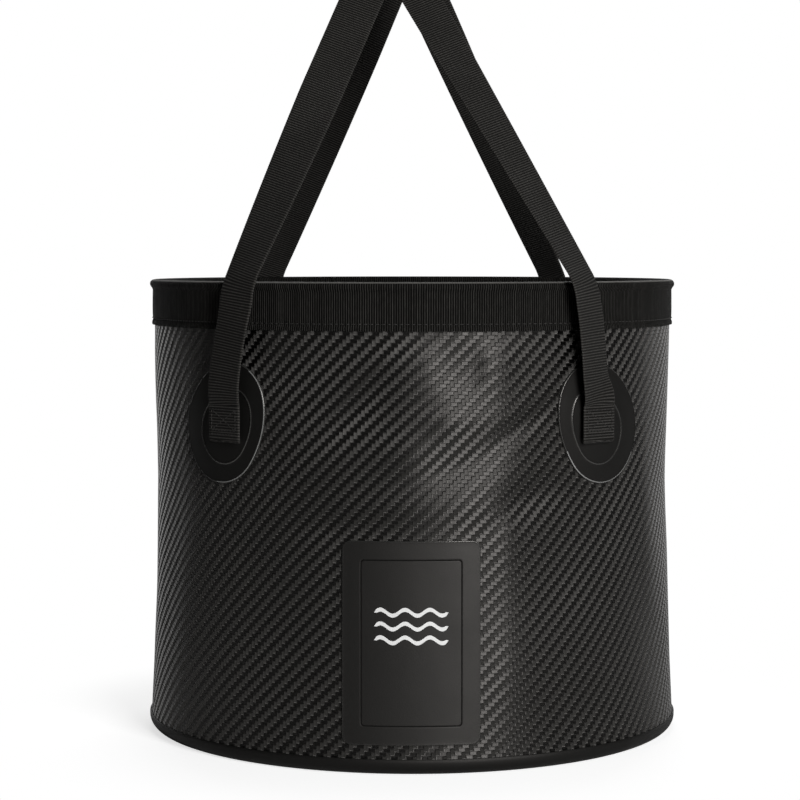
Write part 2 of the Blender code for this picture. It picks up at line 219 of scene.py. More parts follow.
def fold_depth(angle, height):
    """How far the sheet stands out of its round form. It lies flat under the patches and at its ends."""
    free = smooth(*FREE_OF_SKIRT, height) * smooth(*FREE_OF_TAPE, height)
    for middle in (PATCH_ANGLE, math.pi - PATCH_ANGLE, math.pi + PATCH_ANGLE, -PATCH_ANGLE):
        across = turn_between(angle, middle) * WAIST_RADIUS / PATCH_FLAT[0]
        up = (height - PATCH_MIDDLE - PATCH_FLAT_RISE) / PATCH_FLAT[1]
        free *= smooth(0.75, 1.15, math.hypot(across, up))
    across = turn_between(angle, 0) * WAIST_RADIUS / LABEL_FLAT[0]
    up = (height - LABEL_MIDDLE) / LABEL_FLAT[1]
    free *= LABEL_FREE + (1 - LABEL_FREE) * smooth(0.85, 1.2, max(across, up))
    depth = 0.0
    for deep, turns, rows, seed in SWELLS:
        depth += deep * noise.noise(Vector((turns * math.cos(angle), turns * math.sin(angle), height * rows + seed)))
    for middle, level, wide, tall, deep, lean in FOLDS:
        place = math.radians(middle + lean * (height - level))
        across = turn_between(angle, place) / math.radians(wide)
        up = (height - level) / tall
        depth += deep * math.exp(-across * across - up * up)
    front = smooth(*BULGE_TURN, turn_between(angle, 0))
    depth += BULGE * front * math.exp(-((height - BULGE_HEIGHT) / BULGE_TALL) ** 2)
    tucked = smooth(*TUCKED_FROM, height)
    most = MOST_DEPTH + tucked * ((TUCKED_OUT if depth > 0 else TUCKED_IN) - MOST_DEPTH)
    return free * most * math.tanh(depth / most)


def skin_radius(angle, height):
    return wall_radius(height) + fold_depth(angle, height)


# Meshes


def make_mesh(name, points, faces, corners=None, slots=None, sharp=None):
    """corners holds the place on the flat goods, in metres, for each face's corners in turn."""
    mesh = bpy.data.meshes.new(name)
    mesh.from_pydata([tuple(p) for p in points], [], faces)
    if corners:
        attribute = mesh.attributes.new("goods", "FLOAT_VECTOR", "CORNER")
        flat = [value for face in corners for u, v in face for value in (u, v, 0.0)]
        attribute.data.foreach_set("vector", flat)
    if slots:
        mesh.polygons.foreach_set("material_index", slots)
    mesh.shade_smooth()
    if sharp:
        mesh.set_sharp_from_angle(angle=math.radians(sharp))
    piece = bpy.data.objects.new(name, mesh)
    bpy.context.scene.collection.objects.link(piece)
    return piece


def loft(rings, along, across, wrap=False, caps=False, slot=None):
    """Quads between closed rings of points. along has one more value than there are rings when they wrap."""
    count = len(rings[0])
    points = [p for ring in rings for p in ring]
    faces = []
    corners = []
    slots = []
    last = len(rings) if wrap else len(rings) - 1
    for i in range(last):
        low = i * count
        high = (i + 1) % len(rings) * count
        for k in range(count):
            after = (k + 1) % count
            faces.append((low + k, low + after, high + after, high + k))
            left, right = across[k], across[k + 1]
            corners.append(((along[i], left), (along[i], right), (along[i + 1], right), (along[i + 1], left)))
            slots.append(slot(k) if slot else 0)
    if caps:
        for row, place, order in ((0, along[0], -1), (len(rings) - 1, along[-1], 1)):
            faces.append(tuple(row * count + k for k in range(count))[::order])
            corners.append(tuple((place, across[k]) for k in range(count))[::order])
            slots.append(0)
    return points, faces, corners, slots


def lengths(profile):
    """Distance along a run of points, at each of them."""
    total = [0.0]
    for a, b in zip(profile, profile[1:]):
        total.append(total[-1] + math.dist(a, b))
    return total


def finish_piece(piece, slot, body, materials, *nodes):
    for material in materials:
        piece.data.materials.append(material)
    if body:
        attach(piece, body)
    if nodes:
        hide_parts(*nodes)


def shorten(piece):
    """Gives the piece a mesh of its own and nothing more. The piece is on the wall, which shortens when the rim is
    pressed down.
    """
    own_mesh(piece)


# Materials

# The black goods shine a little warm
WARM = (1.0, 0.955, 0.915, 1.0)
# Pitches, in metres: the emboss, the tape's ribs and the threads across them, the webbing's picks and warp ends
CELL = 0.0020
RIB = 0.00130
RIB_THREAD = 0.0006
PICK = 0.00156
WARP_END = 0.0009
FLOAT_DEPTH = 0.00022
# Where the tape's fold is worn smoother and painted lighter as a painted highlight: places up the tape's outer side,
# in metres
FOLD_WEAR_AND_GLINT = (0.0262, 0.0268, 0.0283, 0.0290)


class Tree:
    """The node tree of a material or world, with short ways to add nodes, links and values."""

    def __init__(self, owner):
        owner.use_nodes = True
        self.tree = owner.node_tree

    def add(self, kind, **settings):
        node = self.tree.nodes.new(kind)
        for key, value in settings.items():
            setattr(node, key, value)
        return node

    def put(self, socket, value):
        if isinstance(value, bpy.types.NodeSocket):
            self.tree.links.new(value, socket)
        else:
            socket.default_value = value

    def fill(self, node, *values):
        """The node's inputs in turn, and its first output."""
        for socket, value in zip(node.inputs, values):
            self.put(socket, value)
        return node.outputs[0]

    def math(self, operation, *values):
        return self.fill(self.add("ShaderNodeMath", operation=operation), *values)

    def shade(self, kind, *values):
        return self.fill(self.add(kind), *values)

    def place(self):
        return self.add("ShaderNodeNewGeometry").outputs["Position"]

    def span(self, value, low, high, out_low=0.0, out_high=1.0):
        node = self.add("ShaderNodeMapRange", interpolation_type="SMOOTHSTEP")
        return self.fill(node, value, low, high, out_low, out_high)


class Graph(Tree):
    """A material's node tree, with a Principled shader at its end."""

    def __init__(self, name, **values):
        self.material = bpy.data.materials.new(name)
        super().__init__(self.material)
        self.shader = self.tree.nodes["Principled BSDF"]
        self.shader.inputs["Specular Tint"].default_value = WARM
        for key, value in values.items():
            self.shader.inputs[key.replace("_", " ")].default_value = value

    def goods(self):
        node = self.add("ShaderNodeAttribute", attribute_name="goods")
        split = self.add("ShaderNodeSeparateXYZ")
        self.put(split.inputs[0], node.outputs["Vector"])
        return split.outputs[0], split.outputs[1]

    def cloud(self, scale, detail=2.0, stretch=None, seed=0.0):
        node = self.add("ShaderNodeTexNoise", noise_dimensions="4D")
        self.put(node.inputs["W"], seed)
        self.put(node.inputs["Scale"], scale)
        self.put(node.inputs["Detail"], detail)
        place = self.place()
        if stretch:
            place = self.fill(self.add("ShaderNodeVectorMath", operation="MULTIPLY"), place, stretch)
        self.put(node.inputs["Vector"], place)
        return node.outputs["Fac"]

    def blend(self, share, a, b):
        node = self.add("ShaderNodeMix", data_type="RGBA")
        self.put(node.inputs[0], share)
        self.put(node.inputs[6], (*a, 1.0) if isinstance(a, tuple) else a)
        self.put(node.inputs[7], (*b, 1.0) if isinstance(b, tuple) else b)
        return node.outputs[2]

    def colour(self, value):
        self.put(self.shader.inputs["Base Color"], value)

    def rough(self, value):
        self.put(self.shader.inputs["Roughness"], value)

    def bump(self, *layers):
        """Each layer is (height from 0 to 1, depth in metres)."""
        normal = None
        for height, depth in layers:
            node = self.add("ShaderNodeBump")
            self.put(node.inputs["Strength"], 1.0)
            self.put(node.inputs["Distance"], depth)
            self.put(node.inputs["Height"], height)
            if normal:
                self.put(node.inputs["Normal"], normal)
            normal = node.outputs["Normal"]
        self.put(self.shader.inputs["Normal"], normal)


def embossed_material():
    """Sheet embossed like a two-by-two twill. The floats are finely grooved along their length, so that the
    upright ones shine round a wide arc, and the level ones only where they mirror a light."""
    g = Graph("embossed_sheet", Specular_IOR_Level=0.9, Anisotropic=0.97)
    u, v = g.goods()
    column = g.math("MULTIPLY", u, 1 / CELL)
    row = g.math("MULTIPLY", v, 1 / CELL)
    across = g.math("FRACT", column)
    up = g.math("FRACT", row)
    step = g.math("SUBTRACT", g.math("FLOOR", column), g.math("FLOOR", row))
    phase = g.math("FLOORED_MODULO", g.math("ADD", step, 0.5), 4.0)
    upright = g.math("LESS_THAN", phase, 2.0)
    late = g.math("GREATER_THAN", g.math("FLOORED_MODULO", phase, 2.0), 1.0)
    early = g.math("SUBTRACT", 1.0, late)

    def crown(share, power):
        side = g.math("ABSOLUTE", g.math("MULTIPLY_ADD", share, 2.0, -1.0))
        return g.math("SUBTRACT", 1.0, g.math("POWER", side, power))

    def pick(low, high):
        node = g.add("ShaderNodeMix", data_type="FLOAT")
        g.put(node.inputs[0], upright)
        g.put(node.inputs[2], low)
        g.put(node.inputs[3], high)
        return node.outputs[0]

    upright_along = g.math("MULTIPLY", g.math("ADD", up, early), 0.5)
    level_along = g.math("MULTIPLY", g.math("ADD", across, late), 0.5)
    upright_height = g.math("MULTIPLY", crown(across, 4.0), crown(upright_along, 8.0))
    level_height = g.math("MULTIPLY", crown(up, 4.0), crown(level_along, 8.0))
    height = pick(g.math("MULTIPLY", level_height, 0.6), upright_height)
    grain = g.cloud(900.0)
    wear = g.cloud(14.0, 3.0, seed=2.0)
    light = g.blend(g.span(wear, 0.3, 0.7), (0.010, 0.0098, 0.0088), (0.016, 0.0157, 0.0142))
    # painted shade: level floats and the gaps between floats are nearly black, and the upright crowns lighter as
    # painted highlight
    g.colour(g.blend(g.math("MULTIPLY", upright, g.span(height, 0.1, 0.7)), (0.0010, 0.0010, 0.0009), light))
    rough = g.math("MULTIPLY_ADD", grain, 0.24, -0.12)
    float_rough = g.math("ADD", rough, pick(0.50, 0.54))
    in_gap = g.span(height, 0.05, 0.40, 1.0, 0.0)
    g.rough(g.math("ADD", float_rough, g.math("MULTIPLY", in_gap, g.math("SUBTRACT", 1.0, float_rough))))
    g.put(g.shader.inputs["Anisotropic Rotation"], pick(0.25, 0.0))
    g.bump((grain, 0.00005), (height, FLOAT_DEPTH))
    return g.material


def plain_material(name, dark, pale, rough, seed, shine=0.5):
    """Smooth coated sheet with a fine matte grain and faint handling marks."""
    g = Graph(name, Specular_IOR_Level=shine)
    marks = g.cloud(22.0, 4.0, seed=seed)
    grain = g.cloud(1500.0, 1.0, seed=seed)
    g.colour(g.blend(g.span(marks, 0.3, 0.75), dark, pale))
    fine = g.math("MULTIPLY_ADD", grain, 0.12, -0.06)
    g.rough(g.math("ADD", g.span(marks, 0.2, 0.8, rough + 0.05, rough - 0.05), fine))
    g.bump((g.cloud(60.0, 2.0, seed=seed + 3), 0.00012), (grain, 0.00004))
    return g.material


def tape_material():
    """Tape with fine upright ribs and a thread line now and then across them."""
    g = Graph("rim_tape", Specular_IOR_Level=0.15)
    u, v = g.goods()
    wave = g.math("PINGPONG", g.math("MULTIPLY", u, 2 / RIB), 1.0)
    rib = g.math("POWER", wave, 3.6)
    pick = g.math("PINGPONG", g.math("MULTIPLY", v, 2 / RIB_THREAD), 1.0)
    weave = g.math("MULTIPLY", rib, g.math("MULTIPLY_ADD", pick, 0.35, 0.65))
    fuzz = g.cloud(700.0, 2.0, stretch=(1, 1, 0.3), seed=5.0)
    shade = g.math("MULTIPLY", weave, g.span(fuzz, 0.25, 0.8, 0.55, 1.0))
    single = g.add("ShaderNodeTexWhiteNoise", noise_dimensions="1D")
    g.put(single.inputs["W"], g.math("FLOOR", g.math("MULTIPLY", u, 1 / RIB)))
    shade = g.math("MULTIPLY", shade, g.math("MULTIPLY_ADD", single.outputs["Value"], 0.45, 0.62))
    # along the top of the fold: smoother from wear, and painted lighter as a painted highlight
    before, low, high, after = FOLD_WEAR_AND_GLINT
    wear_and_glint = g.math("MULTIPLY", g.span(v, before, low), g.span(v, after, high))
    # painted shade: the gaps between ribs are nearly black, and the crests lighter as painted highlight
    woven = g.blend(shade, (0.0001, 0.0001, 0.0001), (0.1000, 0.0972, 0.0890))
    g.colour(g.blend(wear_and_glint, woven, (0.110, 0.107, 0.099)))
    woven_rough = g.math("MULTIPLY_ADD", shade, -0.50, 0.92)
    g.rough(g.math("ADD", woven_rough, g.math("MULTIPLY", wear_and_glint, g.math("SUBTRACT", 0.60, woven_rough))))
    g.bump((weave, 0.00026), (fuzz, 0.00006))
    return g.material


def webbing_material(dark, pale):
    """Ribbed webbing: picks across it, warp ends along it, and a little fuzz."""
    g = Graph("webbing", Specular_IOR_Level=0.25, Sheen_Weight=0.03, Sheen_Roughness=0.45)
    u, v = g.goods()
    rib = g.math("PINGPONG", g.math("MULTIPLY", u, 2 / PICK), 1.0)
    crest = g.math("POWER", rib, 2.0)
    ends = g.math("PINGPONG", g.math("MULTIPLY", v, 2 / WARP_END), 1.0)
    shift = g.math("PINGPONG", g.math("MULTIPLY_ADD", u, 1 / PICK, 0.5), 1.0)
    twill = g.math("ABSOLUTE", g.math("SUBTRACT", ends, shift))
    weave = g.math("MULTIPLY", crest, g.math("MULTIPLY_ADD", twill, 0.45, 0.55))
    fuzz = g.cloud(800.0, 2.0, seed=9.0)
    edge = g.span(g.math("ABSOLUTE", v), STRAP_WIDTH * 0.44, STRAP_WIDTH * 0.5)
    shade = g.math("MULTIPLY", weave, g.span(fuzz, 0.2, 0.8, 0.6, 1.0))
    shade = g.math("MULTIPLY_ADD", edge, 0.08, shade)
    wear_and_glint = g.cloud(30.0, 3.0, seed=4.0)
    # painted shade: the hollows between picks are nearly black, and the crests lighter as painted highlight; the
    # edges are a little lighter
    g.colour(g.blend(shade, dark, g.blend(g.span(wear_and_glint, 0.3, 0.7), pale, tuple(c * 1.25 for c in pale))))
    g.rough(g.math("MULTIPLY_ADD", shade, -0.30, 0.92))
    g.bump((twill, 0.00012), (fuzz, 0.00008))
    return g.material


wall_sheet = embossed_material()
inner_sheet = plain_material("inner_sheet", (0.0060, 0.0060, 0.0057), (0.0090, 0.0088, 0.0083), 0.50, 1.0)
plain_sheet = plain_material("plain_sheet", (0.0035, 0.0035, 0.0033), (0.0055, 0.0054, 0.0050), 0.55, 3.0, shine=0.30)
patch_sheet = plain_material("patch_sheet", (0.0048, 0.0048, 0.0045), (0.0072, 0.0070, 0.0065), 0.52, 6.0, shine=0.42)
# painted highlight: the edge bead and the oval's ridge are lighter than the sheet
bead_highlight_sheet = plain_material("bead_painted_highlight", (0.022, 0.022, 0.021), (0.034, 0.034, 0.032), 0.26, 8.0, shine=1.0)
# painted highlight: pale grey on part of the handle patches' edge bead
bead_glint = plain_material("bead_glint", (0.16, 0.16, 0.157), (0.36, 0.36, 0.353), 0.30, 10.0, shine=1.0)
# painted shade: the label's groove is darker than the sheet
groove_shade_sheet = plain_material("groove", (0.0012, 0.0012, 0.0011), (0.0020, 0.0020, 0.0018), 0.70, 9.0, shine=0.2)
rim_tape = tape_material()
webbing = webbing_material((0.0005, 0.0005, 0.0004), (0.0900, 0.0865, 0.0800))
thread = plain_material("thread", (0.010, 0.010, 0.010), (0.024, 0.023, 0.022), 0.60, 11.0)
print_ink = plain_material("print_ink", (0.80, 0.80, 0.79), (0.88, 0.88, 0.87), 0.55, 12.0)
rod = plain_material("hoop_rod", (0.14, 0.14, 0.14), (0.17, 0.17, 0.17), 0.40, 13.0)


# Wall and bottom

WALL_COLUMNS = 360
WALL_ROWS = 84
LAP_STEP = 0.0006
LAP_WIDTH = 0.015
LAP_FADE = 0.006
LAP_EDGE = 0.0004
# The lap's step runs out over this height at the skirt and at the tape
LAP_END = 0.002


def lap_lift(offset):
    """Height of the lap's free edge at an arc distance from it, on the side that lies on top."""
    if offset < 0 or offset > LAP_WIDTH + LAP_FADE:
        return 0.0
    return LAP_STEP * smooth(LAP_WIDTH + LAP_FADE, LAP_WIDTH - 0.002, offset) * smooth(0, LAP_EDGE, offset)


def make_wall():
    corner = (SKIRT_RADIUS - CORNER_RADIUS, CORNER_RADIUS)
    hem_radius = FOOT_RADIUS - corner[0]
    hem = arc(corner, hem_radius, -HEM_SWEEP, 0, 5)
    hem_inside = arc(corner, hem_radius - SHEET, -HEM_SWEEP, 0, 5)
    heights = [SKIRT_HEIGHT + (WALL_TOP - SKIRT_HEIGHT) * i / WALL_ROWS for i in range(WALL_ROWS + 1)]
    steps = sorted([math.tau * i / WALL_COLUMNS for i in range(WALL_COLUMNS)] + [LAP_EDGE / WAIST_RADIUS])
    profile = hem + [(wall_radius(h), h) for h in heights]
    up = lengths(profile)
    rings = []
    along = []
    for step in steps:
        angle = math.pi + step
        offset = (math.tau - step) * WAIST_RADIUS if step else 0.0
        rise = lap_lift(offset)
        ring = [around(angle, r, h) for r, h in hem]
        for h in heights:
            low_end = smooth(SKIRT_HEIGHT, SKIRT_HEIGHT + LAP_END, h)
            free = low_end * smooth(TAPE_BOTTOM, TAPE_BOTTOM - LAP_END, h)
            ring.append(around(angle, skin_radius(angle, h) + rise * free, h))
        inside = [around(angle, r, h) for r, h in hem_inside]
        inside += [around(angle, skin_radius(angle, h) - SHEET, h) for h in heights]
        rings.append(ring + inside[::-1])
        along.append(step * WAIST_RADIUS)
    along.append(math.tau * WAIST_RADIUS)
    count = len(profile)
    across = up + up[::-1] + [up[0]]

    def side_slot(k):
        return 0 if k < count - 1 else 1

    points, faces, corners, slots = loft(rings, along, across, wrap=True, slot=side_slot)
    piece = make_mesh("wall_skin", points, faces, corners, slots, sharp=50)
    finish_piece(piece, "embossed_sheet", "base", [wall_sheet, inner_sheet], "wall_panel")
    shorten(piece)


def revolved(name, profile, columns, ripple=None, on_axis=False):
    """A turned mesh. ripple gives an angle and a profile point's move, as (radius, height)."""
    up = lengths(profile + profile[:1])
    rings = []
    for i in range(columns):
        angle = math.tau * i / columns
        ring = []
        for k, (radius, height) in enumerate(profile):
            move = ripple(angle, k) if ripple else (0, 0)
            ring.append(around(angle, radius + move[0], height + move[1]))
        rings.append(ring)
    along = [math.tau * i / columns * WAIST_RADIUS for i in range(columns + 1)]
    points, faces, corners, _ = loft(rings, along, up, wrap=True)
    if on_axis:
        points.append(Vector((0, 0, profile[0][1])))
        points.append(Vector((0, 0, profile[-1][1])))
        count = len(profile)
        keep = [i for i in range(len(faces)) if i % count != count - 1]
        faces = [faces[i] for i in keep]
        corners = [corners[i] for i in keep]
        low, high = len(points) - 2, len(points) - 1
        for i in range(columns):
            after = (i + 1) % columns
            faces.append((after * count, i * count, low))
            corners.append(((along[i + 1], 0), (along[i], 0), (along[i], 0)))
            faces.append((i * count + count - 1, after * count + count - 1, high))
            corners.append(((along[i], up[-2]), (along[i + 1], up[-2]), (along[i], up[-2])))
    return make_mesh(name, points, faces, corners, sharp=50)


# Radii of the bottom's rings. The last four carry a faint weld line, on the inside only.
FLAT_RADII = (0.010, 0.040, 0.080, 0.120)
WELD_RADII = (0.138, 0.1395, 0.1405, 0.142)
WELD_LIFTS = (0, 0.00025, 0.00025, 0)
SKIRT_BEVEL = (0.0003, 0.0004)


def make_bottom():
    centre = (SKIRT_RADIUS - CORNER_RADIUS, CORNER_RADIUS)
    radii = FLAT_RADII + WELD_RADII
    lifts = (0,) * len(FLAT_RADII) + WELD_LIFTS
    profile = [(r, 0) for r in FLAT_RADII + WELD_RADII[:1]]
    profile += arc(centre, CORNER_RADIUS, -math.pi / 2, 0, 10)
    profile += [(SKIRT_RADIUS, SKIRT_HEIGHT - SKIRT_BEVEL[1]), (SKIRT_RADIUS - SKIRT_BEVEL[0], SKIRT_HEIGHT)]
    profile += [(SKIRT_RADIUS - SHEET, SKIRT_HEIGHT)]
    profile += arc(centre, CORNER_RADIUS - SHEET, 0, -math.pi / 2, 10)
    profile += [(r, SHEET + lift) for r, lift in zip(radii[::-1], lifts[::-1])]
    piece = revolved("bottom_cup", profile, 180, on_axis=True)
    finish_piece(piece, "plain_sheet", "base", [plain_sheet], "bottom_disc")


# Rim

RIM_COLUMNS = 900
RIM_STITCHES = 300
STITCH_RISE = 0.0038
STITCH_SHARE = 0.68
RIM_THREAD = 0.00028
FOLD_START = math.radians(-50)
# How far the tape's surface and its lower edges wander
RIM_WAVE = 0.00012
RIM_EDGE_WAVE = 0.00020
# Share of the tape leg's height from its lower edge, and how far the tape stands off there
LEG_PROFILE = ((0, 0.00035), (0.05, 0.0005), (0.10, 0.00035), (0.135, -0.00005), (0.17, 0), (0.3, 0.0001),
               (0.5, 0.00015), (0.75, 0.0001), (1, 0))


def make_rim():
    centre = (HOOP_RADIUS, HOOP_HEIGHT)
    start, end = FOLD_START, math.pi - FOLD_START
    out = NECK_RADIUS + GAP
    inn = NECK_RADIUS - SHEET - GAP
    top = HOOP_HEIGHT - FOLD_OUT - TAPE
    span = top - TAPE_BOTTOM
    outer = [(out + TAPE + stand, TAPE_BOTTOM + share * span) for share, stand in LEG_PROFILE]
    outer += arc(centre, FOLD_OUT, start, end, 16)
    outer += [(inn - TAPE - stand, TAPE_BOTTOM + share * span) for share, stand in LEG_PROFILE[::-1]]
    inner = [(inn, TAPE_BOTTOM), (inn, top)]
    inner += arc(centre, FOLD_IN, end, start, 8)
    inner += [(out, top), (out, TAPE_BOTTOM)]
    shown = len(outer)

    def ripple(angle, k):
        if k >= shown:
            return 0, 0
        wave = noise.noise(Vector((9 * math.cos(angle), 9 * math.sin(angle), k * 0.25)))
        pull = 0.5 + 0.5 * math.cos(angle * RIM_STITCHES)
        inward = -RIM_WAVE * pull * (1 if k in (2, 3, 4) else -1 if shown - k in (3, 4, 5) else 0)
        side = 1 if k < shown / 2 else -1
        return side * RIM_WAVE * wave + inward, RIM_EDGE_WAVE * wave if k in (0, shown - 1) else 0

    piece = revolved("rim_tape", outer + inner, RIM_COLUMNS, ripple)
    finish_piece(piece, "rim_tape", "rim", [rim_tape], "rim_binding")


# A stitch's rings: share of its length, and its width and rise in half-widths of the thread
STITCH_RINGS = ((0, 0.25, -0.6), (0.12, 0.8, 0.35), (0.5, 1.0, 0.6), (0.88, 0.8, 0.35), (1, 0.25, -0.6))
STITCH_SIDES = 6


def thread_mesh(name, runs):
    """Stitches as small capsules. Each is (start, end, outward normal, half width)."""
    points = []
    faces = []
    for start, end, normal, half in runs:
        ahead = (end - start).normalized()
        side = normal.cross(ahead).normalized()
        length = (end - start).length
        base = len(points)
        for share, wide, rise in STITCH_RINGS:
            centre = start + ahead * share * length + normal * half * rise
            for turn in range(STITCH_SIDES):
                a = math.tau * turn / STITCH_SIDES
                points.append(centre + (side * math.cos(a) + normal * math.sin(a)) * half * wide)
        last = base + (len(STITCH_RINGS) - 1) * STITCH_SIDES
        for row in range(base, last, STITCH_SIDES):
            for turn in range(STITCH_SIDES):
                a = row + turn
                b = row + (turn + 1) % STITCH_SIDES
                faces.append((a, b, b + STITCH_SIDES, a + STITCH_SIDES))
        faces.append(tuple(base + turn for turn in range(STITCH_SIDES))[::-1])
        faces.append(tuple(last + turn for turn in range(STITCH_SIDES)))
    return make_mesh(name, points, faces)


def make_rim_stitches():
    runs = []
    level = TAPE_BOTTOM + STITCH_RISE
    pitch = math.tau / RIM_STITCHES
    for i in range(RIM_STITCHES):
        angle = pitch * i
        for radius, sign in ((NECK_RADIUS + GAP + TAPE, 1), (NECK_RADIUS - SHEET - GAP - TAPE, -1)):
            start = around(angle, radius, level)
            end = around(angle + pitch * STITCH_SHARE, radius, level)
            runs.append((start, end, sign * around(angle + pitch * STITCH_SHARE / 2, 1, 0), RIM_THREAD))
    piece = thread_mesh("rim_stitches", runs)
    finish_piece(piece, "rim_tape", "rim", [thread])


# Patches


def rounded_rectangle(width, height, corner, corner_steps=8, side_steps=(14, 20)):
    """The outline from its lower right corner on, anticlockwise."""
    across = width / 2 - corner
    up = height / 2 - corner
    quarter = math.pi / 2
    turns = []
    for i, centre in enumerate(((across, -up), (across, up), (-across, up), (-across, -up))):
        turns.append(arc(centre, corner, (i - 1) * quarter, i * quarter, corner_steps))
    points = []
    for i, turn in enumerate(turns):
        following = turns[(i + 1) % 4]
        steps = side_steps[(i + 1) % 2]
        points += turn
        points += [Vector(turn[-1]).lerp(Vector(following[0]), k / steps) for k in range(1, steps)]
    return points


def egg(width, drop, rise, lean, steps=96):
    """An oval that is longer above its middle than below, tilted by lean."""
    points = []
    for i in range(steps):
        turn = math.tau * i / steps
        across = width / 2 * math.cos(turn)
        up = (rise if math.sin(turn) > 0 else drop) * math.sin(turn)
        tilted = across * math.cos(lean) - up * math.sin(lean)
        points.append((tilted, up * math.cos(lean) + across * math.sin(lean)))
    return points


# Profiles of a welded patch at its edge, at a handle patch's inner oval and at the label's frame, from outside in:
# distance in, lift as a share of the thickness, and slot (0 sheet, 1 bead, 2 groove)
EDGE_PROFILE = ((0.0, 0.0, 1), (0.00002, 0.55, 1), (0.00018, 0.95, 1), (0.00045, 1.06, 1), (0.00075, 1.0, 0),
                (0.0014, 0.97, 0))
RIDGE_PROFILE = ((-0.0007, 0.98, 0), (0.0, 0.98, 0), (0.00020, 1.04, 1), (0.00038, 1.20, 1), (0.00055, 1.28, 1),
                 (0.00075, 1.28, 1), (0.00095, 1.20, 1), (0.00115, 1.08, 0), (0.0014, 1.04, 0), (0.0021, 1.04, 0))
FRAME_PROFILE = ((-0.0007, 0.97, 0), (0.0, 0.97, 0), (0.00015, 0.93, 2), (0.00030, 0.66, 2), (0.00055, 0.66, 2),
                 (0.00072, 1.00, 2), (0.00085, 1.09, 0), (0.00110, 1.10, 0), (0.0014, 1.10, 0), (0.0021, 1.10, 0))
# Rings between the edge and the inner line, as shares of the way, and inside the line, as shares of its size
BAND = (0.3, 0.6)
BAND_LIFT = 0.98
FILL = (0.86, 0.70, 0.52, 0.34, 0.16)
# The rings of faces that lie on the edge's bead, and the slot of the bead's painted highlight
BEAD_RINGS = (2, 3)
GLINT_SLOT = 2
# The part of a handle patch's outline whose bead is painted pale grey as a painted highlight, on its right and left
# hand
BEAD_GLINT = {1: (0.46, 0.82), -1: (0.24, 0.66)}


def make_patch(name, angle, middle, thick, edge_at, groove_at, groove_profile, mirror, materials, *nodes,
               wear_and_glint=(0, 0)):
    """A patch on the wall. edge_at and groove_at give an outline at a distance in, and mirror is -1 where the
    outline runs the other way round. The last argument is the part of the outline whose bead is painted as a
    highlight."""
    rings = []
    weld = []

    def ring(outline, lift):
        points = []
        for across, up in outline:
            height = middle + up
            radius = wall_radius(height)
            place = angle + mirror * across / radius
            points.append(around(place, skin_radius(place, height) + GAP / 2 + lift * thick, height))
        return points

    for inset, lift, line in EDGE_PROFILE:
        rings.append(ring(edge_at(inset), lift))
        weld.append(line)
    edge_outline = edge_at(EDGE_PROFILE[-1][0])
    groove_outline = groove_at(0)
    for share in BAND:
        between = [Vector(a).lerp(Vector(b), share) for a, b in zip(edge_outline, groove_outline)]
        rings.append(ring(between, BAND_LIFT))
        weld.append(0)
    for inset, lift, line in groove_profile:
        rings.append(ring(groove_at(inset), lift))
        weld.append(line)
    inner = groove_at(groove_profile[-1][0])
    panel = groove_profile[-1][1]
    centre_across = sum(a for a, _ in inner) / len(inner)
    for share in FILL:
        rings.append(ring([(centre_across + (a - centre_across) * share, u * share) for a, u in inner], panel))
        weld.append(0)
    count = len(rings[0])
    points = [p for r in rings for p in r]
    points.append(ring([(centre_across, 0)], panel)[0])
    faces = []
    slots = []
    for i in range(len(rings) - 1):
        for k in range(count):
            after = (k + 1) % count
            quad = (i * count + k, i * count + after, (i + 1) * count + after, (i + 1) * count + k)
            faces.append(quad if mirror > 0 else quad[::-1])
            line = weld[i] if weld[i] == weld[i + 1] else 0
            # painted highlight on part of the bead
            if i in BEAD_RINGS and wear_and_glint[0] < k / count < wear_and_glint[1]:
                line = GLINT_SLOT
            slots.append(line)
    last = (len(rings) - 1) * count
    for k in range(count):
        tri = (last + k, last + (k + 1) % count, len(points) - 1)
        faces.append(tri if mirror > 0 else tri[::-1])
        slots.append(0)
    back = tuple(range(count))
    faces.append(back[::-1] if mirror > 0 else back)
    slots.append(0)
    piece = make_mesh(name, points, faces, slots=slots, sharp=60)
    finish_piece(piece, "patch_sheet", "base", materials, *nodes)
    shorten(piece)


def make_label():
    """The printed panel stands a little higher than the frame round it, behind a groove painted darker as painted
    shade.
    """
    def edge(inset):
        return rounded_rectangle(LABEL_WIDTH - 2 * inset, LABEL_HEIGHT - 2 * inset, LABEL_CORNER - inset)

    def frame_line(inset):
        draw = FRAME_MARGIN - FRAME_LINE / 2 + inset
        return rounded_rectangle(LABEL_WIDTH - 2 * draw, LABEL_HEIGHT - 2 * draw, FRAME_CORNER - inset / 2)

    make_patch("label_skin", 0, LABEL_MIDDLE, LABEL_THICK, edge, frame_line, FRAME_PROFILE, 1,
               [patch_sheet, bead_highlight_sheet, groove_shade_sheet], "label_patch")


# The print's three rows: heights, half-length, rise, number of waves, steps, half the line's width, and its lift
WAVE_LEVELS = (0.0890, 0.0815, 0.0740)
WAVE_HALF = 0.0200
WAVE_RISE = 0.0016
WAVES = 3
WAVE_STEPS = 90
INK_HALF = 0.0011
PRINT_LIFT = 0.00008


